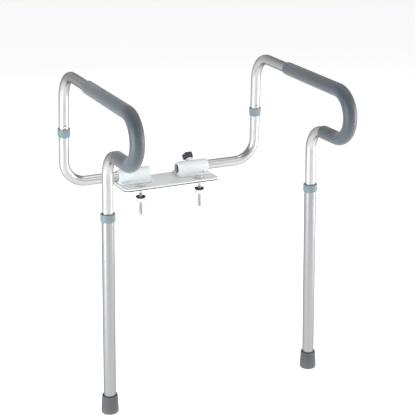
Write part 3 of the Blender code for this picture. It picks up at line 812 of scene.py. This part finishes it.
def uprightPoint(height):
    # on the axis of the rear upright, in the side's plane
    return Vector((0, sizes["rearReach"] + (rearCorner - height) * tan(sizes["rearLean"]), height))


def jointFrame(side):
    # end of the arm tube, with Z up the rear upright
    plane = sideFrame(side)
    up = jointAxis(side, "arm_lift")
    return placed(plane @ uprightPoint(jointHeight), up, plane.to_3x3() @ xAxis)


def legButtonFrame(side):
    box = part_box(f"{side}_leg_snap_button")
    height = (box[0].z + box[1].z) / 2
    plane = sideFrame(side)
    out = -jointAxis(side, "leg_button_push")
    return placed(plane @ Vector((0, 0, height / cos(sizes["splay"]))), out)


def rearButtonFrame(side):
    out = -jointAxis(side, "rear_button_push")
    return placed(jointFrame(side) @ Vector((0, 0, sizes["rearButtonRise"])), out)


arm = {"around": 64, "end": 0.295, "lip": 0.0004}
grip = {
    "wall": 0.0029,
    "bareTurn": radians(90),  # how much of the leg's bend stays bare
    "rear": 0.104,  # where it ends on the armrest, behind the leg
    "edge": 0.0022,
    "inset": 0.006,
    "wayRound": 0.3,  # at least this far from its start to the rear bend
    "around": 64,
}


def armPath(side):
    plane = sideFrame(side)
    corners = [
        Vector((0, 0, arm["end"])),
        Vector((0, 0, sizes["returnHeight"])),
        Vector((0, -sizes["armReach"], sizes["returnHeight"])),
        Vector((0, -sizes["armReach"], armCorner)),
        Vector((0, sizes["rearReach"], rearCorner)),
        uprightPoint(jointHeight),
    ]
    bend = sizes["bend"]
    return bentPath([plane @ corner for corner in corners], (bend, bend, bend, sizes["rearBend"]))


def buildArm(side):
    points = armPath(side)
    lengths = distances(points)
    outer = sizes["tubeRadius"]
    lip = arm["lip"]
    total = lengths[-1]
    inside = [length for length in lengths if 3 * lip < length < total - 3 * lip]
    outline = [(0, bore), (0, outer - lip), (lip, outer)]
    outline += [(length, outer) for length in inside]
    outline += [(total - lip, outer), (total, outer - lip), (total, bore)]
    outline += [(length, bore) for length in inside[::-2]]
    look = finishes["tube"]
    tube = wrapped(f"{side}ArmTube", outline, points, look, ring=True, around=arm["around"])
    for place in (legButtonFrame(side), rearButtonFrame(side)):
        axis = upOf(place)
        drilled(tube, [place.translation], axis, sizes["holeRadius"], 2 * outer)
    settle(tube, f"{side}_arm", "tube", f"{side}_arm_tube")
    buildGrip(side, points, lengths)


def buildGrip(side, points, lengths):
    # foam sleeve, from inside the leg bend to the back of the armrest
    bendStart = sizes["returnHeight"] - sizes["bend"] - arm["end"]
    start = bendStart + sizes["bend"] * grip["bareTurn"]
    plane = sideFrame(side).inverted()
    depths = [(plane @ point).y for point in points]
    far = start + grip["wayRound"]
    bendPoint = next(i for i, depth in enumerate(depths) if depth > 0 and lengths[i] > far)
    last = bendPoint - 1  # where the C bend ends and the straight armrest starts
    end = lengths[last] + (grip["rear"] - depths[last]) / cos(sizes["armSlope"])
    inner = sizes["tubeRadius"] + sizes["gap"]
    outer = inner + grip["wall"]
    inset = grip["inset"]
    inside = [length for length in lengths if start + inset < length < end - inset]
    edge = grip["edge"]
    turns = [radians(15 * i) for i in range(7)]
    arc = [(edge * (1 - cos(turn)), outer - edge * (1 - sin(turn))) for turn in turns]
    outline = [(start, inner)] + [(start + x, radius) for x, radius in arc]
    outline += [(length, outer) for length in inside]
    outline += [(end - x, radius) for x, radius in arc[::-1]] + [(end, inner)]
    outline += [(length, inner) for length in inside[::-2]]
    look = finishes["grip"]
    piece = wrapped(f"{side}HandGrip", outline, points, look, ring=True, around=grip["around"])
    settle(piece, f"{side}_arm", "grip", f"{side}_hand_grip")


leg = {
    "outer": 0.0127,
    "bottom": 0.0084,
    "bareArm": 0.0788,  # arm tube that shows between the leg and its bend
    "pitch": 0.01905,  # of the row of holes
    "below": 2,  # holes below the button, and above it
    "above": 4,
    "lip": 0.0003,
    "bands": 20,  # rings of points that keep the tube's faces short
    "band": 0.02,
    "around": 72,
}
collar = {
    "wall": 0.00215,
    "height": 0.017,
    "taper": 0.0007,
    "taperHeight": 0.0022,
    "lip": 0.0015,
    "round": 0.0008,
}
foot = {
    "radius": 0.018,
    "neck": 0.0163,
    "height": 0.040,
    "skirt": 0.009,
    "floor": 0.006,
    "round": 0.0026,
    "around": 64,
}


def buildLeg(side):
    plane = sideFrame(side)
    outer = leg["outer"]
    top = sizes["returnHeight"] - sizes["bend"] - leg["bareArm"]
    lip = leg["lip"]
    bottom = leg["bottom"]
    outline = [(bottom, fitted), (bottom, outer - lip), (bottom + lip, outer)]
    outline += [(bottom + leg["band"] * i, outer) for i in range(1, leg["bands"] + 1)]
    outline += [(top - lip, outer), (top, outer - lip), (top, fitted)]
    # the leg tube takes the aluminium painted darker, as painted shade
    look = finishes["leg"]
    tube = turnedPiece(f"{side}LegTube", outline, plane, look, ring=True, around=leg["around"])
    hole = legButtonFrame(side)
    up = upOf(plane)
    steps = range(-leg["below"], leg["above"] + 1)
    points = [hole.translation + up * leg["pitch"] * step for step in steps]
    axis = upOf(hole)
    drilled(tube, points, axis, sizes["holeRadius"], 2 * outer)
    settle(tube, f"{side}_leg", "tube", f"{side}_leg_tube")
    high = top + sizes["gap"] + collar["lip"]
    low = high - collar["height"]
    inner = outer + sizes["gap"]
    wide = inner + collar["wall"]
    corners = [
        (low, inner),
        (low, wide - collar["taper"]),
        (low + collar["taperHeight"], wide),
        (high, wide),
        (high, fitted),
        (high - collar["lip"], fitted),
        (high - collar["lip"], inner),
    ]
    outline = softened(corners, collar["round"], ring=True)
    ring = turnedPiece(f"{side}LegCollar", outline, plane, finishes["collar"], ring=True)
    settle(ring, f"{side}_leg", "collar", f"{side}_leg_collar")
    buildFoot(side, plane)


def buildFoot(side, plane):
    # tapered ferrule, sheared so that its sole is level
    inner = leg["outer"] + sizes["gap"]
    corners = [
        (0, 0),
        (0, foot["radius"]),
        (foot["skirt"], foot["radius"]),
        (foot["height"], foot["neck"]),
        (foot["height"], inner),
        (foot["floor"], inner),
        (foot["floor"], 0),
    ]
    outline = softened(corners, foot["round"], 5)
    place = Matrix.Translation(plane.translation)
    piece = turnedPiece(f"{side}Foot", outline, place, finishes["foot"], around=foot["around"])
    up = upOf(plane)
    shear = Matrix.Identity(4)
    shear[0][2] = up.x / up.z
    piece.data.transform(shear)
    settle(piece, f"{side}_leg", "foot", f"{side}_foot")


rear = {
    "end": 0.042,  # from the middle of the frame to the tube's inner end
    "spigot": 0.058,  # length that goes up inside the arm tube
    "swage": 0.0015,
    "topLip": 0.0004,
    "lip": 0.0003,
    "around": 64,
}
rearCollar = {"wall": 0.0023, "below": 0.0142, "above": 0.0048, "taper": 0.0008, "round": 0.0007}
plug = {"cap": 0.002, "stem": 0.010, "round": 0.0007}


def buildRear(side):
    joint = jointFrame(side)
    knob = jointPlace(side, "knob_turn")
    way = sides[side]
    corner = sideFrame(side) @ uprightPoint(lowerHeight / cos(sizes["splay"]))
    end = Vector((way * rear["end"], knob.y, knob.z))
    top = joint @ Vector((0, 0, rear["spigot"]))
    points = bentPath([top, corner, end], [sizes["bend"]])
    lengths = distances(points)
    outer = sizes["tubeRadius"]
    narrow = bore - sizes["gap"]
    swage = rear["swage"]
    shoulder = rear["spigot"] + sizes["gap"]
    total = lengths[-1]
    lip, topLip = rear["lip"], rear["topLip"]
    inside = [length for length in lengths if shoulder + 0.004 < length < total - 0.002]
    outline = [(0, narrow - swage), (0, narrow - topLip), (topLip, narrow), (shoulder, narrow)]
    outline += [(shoulder, outer - lip), (shoulder + lip, outer)]
    outline += [(length, outer) for length in inside]
    outline += [(total - lip, outer), (total, outer - lip), (total, bore)]
    outline += [(length, bore) for length in inside[::-2]]
    outline += [(shoulder + swage, bore), (shoulder + swage, narrow - swage)]
    look = finishes["tube"]
    tube = wrapped(f"{side}RearTube", outline, points, look, ring=True, around=rear["around"])
    hole = rearButtonFrame(side)
    axis = upOf(hole)
    drilled(tube, [hole.translation], axis, sizes["holeRadius"], 2 * outer)
    settle(tube, f"{side}_rear", "tube", f"{side}_rear_tube")
    wide = fitted + rearCollar["wall"]
    below, above = rearCollar["below"], rearCollar["above"]
    corners = [(-below, fitted), (-below, wide - rearCollar["taper"]), (-below / 2, wide)]
    corners += [(above, wide), (above, fitted)]
    outline = softened(corners, rearCollar["round"], ring=True)
    ring = turnedPiece(f"{side}RearCollar", outline, joint, finishes["collar"], ring=True)
    settle(ring, f"{side}_rear", "collar", f"{side}_rear_collar")
    stem = bore - sizes["slideGap"]
    seat = -sizes["gap"]
    face = seat - plug["cap"]
    corners = [(face, 0), (face, outer), (seat, outer), (seat, stem)]
    corners += [(plug["stem"], stem), (plug["stem"], 0)]
    inward = placed(end, Vector((way, 0, 0)), zAxis)
    outline = softened(corners, plug["round"])
    cap = turnedPiece(f"{side}TubePlug", outline, inward, finishes["knob"])
    settle(cap, f"{side}_rear", "knob", f"{side}_tube_plug")


button = {
    "radius": 0.0035,
    "proud": 0.0026,
    "dome": 0.7,  # how much of what stands proud is domed
    "flange": 0.0010,
    "legRim": 0.0008,  # how far the flange reaches past the hole
    "rearRim": 0.0006,
    "strip": 0.0006,
    "flats": 16,  # of the bore that the flange bears on
    "around": 40,
}


def buildButton(side, where, place, wall, rim, surface):
    radius = button["radius"]
    flange = sizes["holeRadius"] + rim
    flat = wall * cos(pi / button["flats"])
    back = sqrt(flat**2 - flange**2) - sizes["gap"] - button["flange"]
    front = back + button["flange"]
    reach = surface + button["proud"]
    dome = button["proud"] * button["dome"]
    turns = [radians(10 * i) for i in range(9)]
    outline = [(back, 0), (back, flange), (front, flange), (front, radius)]
    outline += [(reach - dome + dome * sin(turn), radius * cos(turn)) for turn in turns]
    outline += [(reach, 0)]
    name, look = f"{side}{where}Button", finishes["button"]
    piece = turnedPiece(name, outline, place, look, around=button["around"])
    body = f"{side}_{where.lower()}_button"
    settle(piece, body, "button", f"{side}_{where.lower()}_snap_button")


def buildSpring(side, where, place):
    # the bent strip behind a button, a copy of its CAD node with the steel finish
    node = f"{side}_{where.lower()}_snap_spring"
    strip = frame["nodes"][node].data.copy()
    piece = linked(bpy.data.objects.new(f"{side}{where}Spring", strip))
    piece.data.materials.clear()
    piece.data.materials.append(finishes["steel"])
    finished(piece)
    away = place.inverted()
    depths = [(away @ vertex.co).z for vertex in piece.data.vertices]
    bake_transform(piece)
    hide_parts(node)


def buildButtons(side):
    narrow = bore - sizes["gap"] - rear["swage"]
    legPlace, rearPlace = legButtonFrame(side), rearButtonFrame(side)
    buildButton(side, "Leg", legPlace, bore, button["legRim"], leg["outer"])
    buildButton(side, "Rear", rearPlace, narrow, button["rearRim"], sizes["tubeRadius"])
    buildSpring(side, "Leg", legPlace)
    buildSpring(side, "Rear", rearPlace)


for side in sides:
    buildArm(side)
    buildLeg(side)
    buildRear(side)
    buildButtons(side)
print("tubes, grips, legs and buttons made")


sleeve = {
    "start": 0.035,  # from the middle of the frame
    "length": 0.075,
    "wall": 0.004,
    "floor": 0.0035,
    "ear": 0.0105,
    "earThick": 0.004,
    "round": 0.001,
    "bevel": 0.0008,
}
boss = {"radius": 0.008, "rise": 0.00555, "round": 0.0008}  # the turret under each knob
screw = {
    "radius": 0.002,
    "head": 0.0038,
    "headHeight": 0.0026,
    "crown": 0.0011,
    "inset": 0.013,  # from the sleeve's ends
    "recessLength": 0.0019,
    "recessWidth": 0.00035,
    "recessFloor": 0.0014,
}


def sleeveOutline():
    low = -fitted - sleeve["floor"]
    wide = fitted + sleeve["wall"]
    half = wide + sleeve["ear"]
    ear = low + sleeve["earThick"]
    turns = [radians(6 * i) for i in range(31)]
    arch = [(wide * cos(turn), wide * sin(turn)) for turn in turns]
    right = softened([(0, low), (half, low), (half, ear), (wide, ear), arch[0]], sleeve["round"])
    return right[1:-1] + arch + [(-x, y) for x, y in right[1:-1]][::-1]


def buildSleeve(side):
    way = sides[side]
    knob = jointPlace(side, "knob_turn")
    axis = jointAxis(side, "knob_turn")
    along = placed(Vector((0, knob.y, knob.z)), xAxis, yAxis)
    low, high = sorted((way * sleeve["start"], way * (sleeve["start"] + sleeve["length"])))
    name, look = f"{side}BracketSleeve", finishes["sleeve"]
    body = prism(name, sleeveOutline(), low, high, along, look, sleeve["bevel"])
    top = fitted + sleeve["wall"] + boss["rise"]
    corners = [(fitted, 0), (fitted, boss["radius"]), (top, boss["radius"]), (top, 0)]
    turret = turnedPiece("turret", softened(corners, boss["round"]), placed(knob, axis), look)
    combined(body, [turret], "UNION")
    middle = placed(knob, xAxis, yAxis)
    reach = sleeve["length"]
    pipe = [(-reach, 0), (-reach, fitted), (reach, fitted), (reach, 0)]
    studHole = knobShape["stud"] + sizes["slideGap"]
    tap = [(0, 0), (0, studHole), (2 * top, studHole), (2 * top, 0)]
    cutters = [
        turnedPiece("pipe", pipe, middle, look, around=64),
        turnedPiece("tap", tap, placed(knob, axis), look, around=32),
    ]
    combined(body, cutters, "DIFFERENCE")
    screwHole = screw["radius"] + sizes["gap"]
    points = [point - Vector((0, 0, 0.01)) for point in screwPoints(side)]
    drilled(body, points, zAxis, screwHole, 0.02)
    settle(body, "bracket", "sleeve", f"{side}_bracket_sleeve")
    buildKnob(side, placed(knob, axis), top)


def screwPoints(side):
    # the seats of the two screws that hold a sleeve
    way = sides[side]
    knob = jointPlace(side, "knob_turn")
    out = fitted + sleeve["wall"] + sleeve["ear"] / 2
    high = knob.z - fitted - sleeve["floor"] + sleeve["earThick"]
    far = sleeve["start"] + sleeve["length"] - screw["inset"]
    near = sleeve["start"] + screw["inset"]
    return [Vector((way * far, knob.y - out, high)), Vector((way * near, knob.y + out, high))]


knobShape = {
    "radius": 0.013,
    "height": 0.012,
    "lift": 0.0015,  # above its boss
    "lobes": 5,
    "lobe": 0.001,
    "bevel": 0.0016,
    "around": 100,
    "stud": 0.003,
    "studRound": 0.0004,
    "studGrip": 0.004,  # how far the stud goes into the head
    "dish": 0.0009,
    "dishFloor": 0.0078,
    "dishRim": 0.0095,
    "dishRound": 0.0006,
}


def buildKnob(side, place, bossTop):
    low = bossTop + knobShape["lift"]
    high = low + knobShape["height"]
    count = knobShape["around"]
    turns = [2 * pi * i / count for i in range(count)]
    waves = [1 - cos(knobShape["lobes"] * turn) for turn in turns]
    radii = [knobShape["radius"] - knobShape["lobe"] * wave for wave in waves]
    outline = [(radius * sin(turn), radius * cos(turn)) for radius, turn in zip(radii, turns)]
    name, look = f"{side}ClampKnob", finishes["knob"]
    knob = prism(name, outline[::-1], low, high, place, look, knobShape["bevel"], 4)
    stud = knobShape["stud"]
    tip = sizes["tubeRadius"] + sizes["gap"]
    held = low + knobShape["studGrip"]
    corners = softened([(tip, 0), (tip, stud), (held, stud), (held, 0)], knobShape["studRound"])
    pin = turnedPiece("pin", corners, place, finishes["steel"], around=32)
    floor, over = high - knobShape["dish"], high + 0.002
    dish = [(floor, 0), (floor, knobShape["dishFloor"]), (over, knobShape["dishRim"]), (over, 0)]
    hollow = turnedPiece("hollow", softened(dish, knobShape["dishRound"]), place, look, around=64)
    combined(knob, [hollow], "DIFFERENCE")
    combined(knob, [pin], "UNION")
    settle(knob, f"{side}_knob", "knob", f"{side}_clamp_knob")


def buildScrews():
    # four pan-head screws with a cross recess
    head = screw["head"]
    depth = -sleeve["earThick"] - 0.003 + sizes["gap"]
    gap = sizes["gap"]
    high, crown = screw["headHeight"], screw["crown"]
    turns = [radians(75 - 15 * i) for i in range(6)]
    outline = [(depth, 0), (depth, screw["radius"]), (gap, screw["radius"]), (gap, head)]
    outline += [(0.0012, head)]
    outline += [(high - crown * (1 - cos(turn)), head * sin(turn)) for turn in turns]
    look = finishes["steel"]
    thing = turnedPiece("screw", outline, Matrix(), look, around=40)
    long, thin = screw["recessLength"], screw["recessWidth"]
    blades = []
    for x, y in ((thin, long), (long, thin)):
        corners = [(-x, -y), (x, -y), (x, y), (-x, y)]
        blades.append(prism("blade", corners, screw["recessFloor"], 0.004, Matrix(), look))
    combined(thing, blades, "DIFFERENCE")
    points = [point for side in sides for point in screwPoints(side)]
    piece = copies("sleeveScrews", thing, points, (0, 0, 1), look)
    nodes = [f"{side}_{where}_sleeve_screw" for side in sides for where in ("front", "rear")]
    settle(piece, "bracket", "steel", *nodes)


def roundedBox(left, low, right, high, radius, steps=8):
    corners = [(left, low), (right, low), (right, high), (left, high)]
    return softened(corners, radius, steps, ring=True)


plate = {
    "corner": 0.012,
    "slotHalf": 0.013,  # half the length of each bolt's slot
    "slotWidth": 0.0043,  # half its width
    "bevel": 0.0005,
    "padBevel": 0.0004,
}


def buildPlate():
    for name, node, look, bevel in (
        ("mountingPlate", "mounting_plate", "plate", plate["bevel"]),
        ("platePad", "plate_pad", "rubber", plate["padBevel"]),
    ):
        low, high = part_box(node)
        outline = roundedBox(low.x, low.y, high.x, high.y, plate["corner"])
        piece = prism(name, outline, low.z, high.z, Matrix(), finishes[look], bevel, 2)
        reach, width = plate["slotHalf"], plate["slotWidth"]
        cutters = []
        for side in sides:
            nut = jointPlace(side, "wing_nut_turn")
            box = (nut.x - reach, nut.y - width, nut.x + reach, nut.y + width)
            slot = roundedBox(*box, width * 0.999, 12)
            cutters.append(prism("slot", slot, low.z - 0.01, high.z + 0.01, Matrix(), None))
        combined(piece, cutters, "DIFFERENCE")
        if node == "mounting_plate":
            points = [point - Vector((0, 0, 0.02)) for side in sides for point in screwPoints(side)]
            drilled(piece, points, zAxis, screw["radius"] + sizes["gap"], 0.03)
        settle(piece, "bracket", look, node)


washer = {"round": 0.0003}
seal = {"round": 0.0008, "under": 0.8}  # a cone, narrower underneath
bolt = {
    "radius": 0.004,
    "rim": 0.004,
    "headHeight": 0.0045,
    "headEdge": 0.0012,
    "headRound": 0.0004,
    "plainLength": 0.018,  # without a thread, below the head
    "pitch": 0.00125,
    "depth": 0.0006,
    "perTurn": 8,  # rings of points for each turn of the thread
    "tip": 0.72,
    "tipLength": 0.001,
    "around": 32,
}


def buildBolt(side):
    nut = jointPlace(side, "wing_nut_turn")
    place = Matrix.Translation((nut.x, nut.y, 0))
    hole = bolt["radius"] + sizes["slideGap"]
    for node, look, name, corner, under in (
        ("bolt_washer", "steel", "BoltWasher", washer["round"], 1),
        ("bolt_seal", "rubber", "BoltSeal", seal["round"], seal["under"]),
    ):
        low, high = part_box(f"{side}_{node}")
        wide = (high.x - low.x) / 2
        corners = [(low.z, hole), (low.z, wide * under), (high.z, wide), (high.z, hole)]
        outline = softened(corners, corner, ring=True)
        ring = turnedPiece(f"{side}{name}", outline, place, finishes[look], ring=True)
        settle(ring, "bracket", look, f"{side}_{node}")
    low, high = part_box(f"{side}_fixing_bolt")
    seat = high.z - bolt["headHeight"]
    radius = bolt["radius"]
    rim = radius + bolt["rim"]
    threadLow = low.z + bolt["tipLength"]
    threadTop = seat - bolt["plainLength"]
    count = round((threadTop - low.z) / bolt["pitch"] * bolt["perTurn"])
    spacing = (threadTop - threadLow) / count
    edge, rounding = seat + bolt["headEdge"], bolt["headRound"]
    outline = [(low.z, 0, 0), (low.z, radius * bolt["tip"], 0)]
    outline += [(threadLow + spacing * i, radius, 1) for i in range(count + 1)]
    outline += [(threadTop + bolt["depth"], radius, 0), (seat, radius, 0)]
    outline += [(seat, rim - rounding, 0), (seat + rounding, rim, 0)]
    turns = [radians(90 - 10 * i) for i in range(9)]
    rise = bolt["headHeight"] - bolt["headEdge"]
    outline += [(edge + rise * cos(turn), rim * sin(turn), 0) for turn in turns]
    outline += [(high.z, 0, 0)]
    thread = {"pitch": bolt["pitch"], "depth": bolt["depth"], "smoothAngle": 40}
    name, look = f"{side}FixingBolt", finishes["steel"]
    stem = turnedPiece(name, outline, place, look, around=bolt["around"], **thread)
    settle(stem, "bracket", "steel", f"{side}_fixing_bolt")


wing = {
    "hub": 0.007,
    "hubFlare": 0.001,
    "hubRound": 0.0006,
    "height": 0.008,
    "length": 0.009,
    "rise": 0.014,
    "thick": 0.003,
    "round": 0.002,
    "bevel": 0.0009,
}


def buildNut(side):
    nut = jointPlace(side, "wing_nut_turn")
    place = Matrix.Translation((nut.x, nut.y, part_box(f"{side}_wing_nut")[1].z))
    hole = bolt["radius"] + sizes["slideGap"]
    hub, height = wing["hub"], wing["height"]
    corners = [(-height, hole), (-height, hub), (0, hub + wing["hubFlare"]), (0, hole)]
    outline = softened(corners, wing["hubRound"], ring=True)
    look = finishes["nut"]
    piece = turnedPiece(f"{side}WingNut", outline, place, look, ring=True)
    # the outline of one wing, from the hub outwards and down to its tip
    inner = (hole + hub) / 2
    reach = hub + wing["length"]
    rise = wing["rise"]
    corners = [(inner, -0.001), (reach - 0.003, -0.004), (reach, -rise + 0.003)]
    corners += [(reach - 0.002, -rise), (inner, -height + 0.001)]
    outline = softened(corners, wing["round"], 5, ring=True)
    half = wing["thick"] / 2
    blades = []
    for across in (xAxis, -xAxis):
        stand = placed(place.translation, across.cross(zAxis), across)
        blades.append(prism("blade", outline, -half, half, stand, look, wing["bevel"], 3))
    combined(piece, blades, "UNION")
    settle(piece, f"{side}_wing_nut", "nut", f"{side}_wing_nut")


for side in sides:
    buildSleeve(side)
    buildBolt(side)
    buildNut(side)
buildScrews()
buildPlate()
print("bracket made")

# the foot washers stay as they are, with a better finish
for name, node in frame["nodes"].items():
    if name.endswith("foot_washer"):
        node.data.materials.clear()
        node.data.materials.append(finishes["steel"])

bpy.context.view_layer.update()
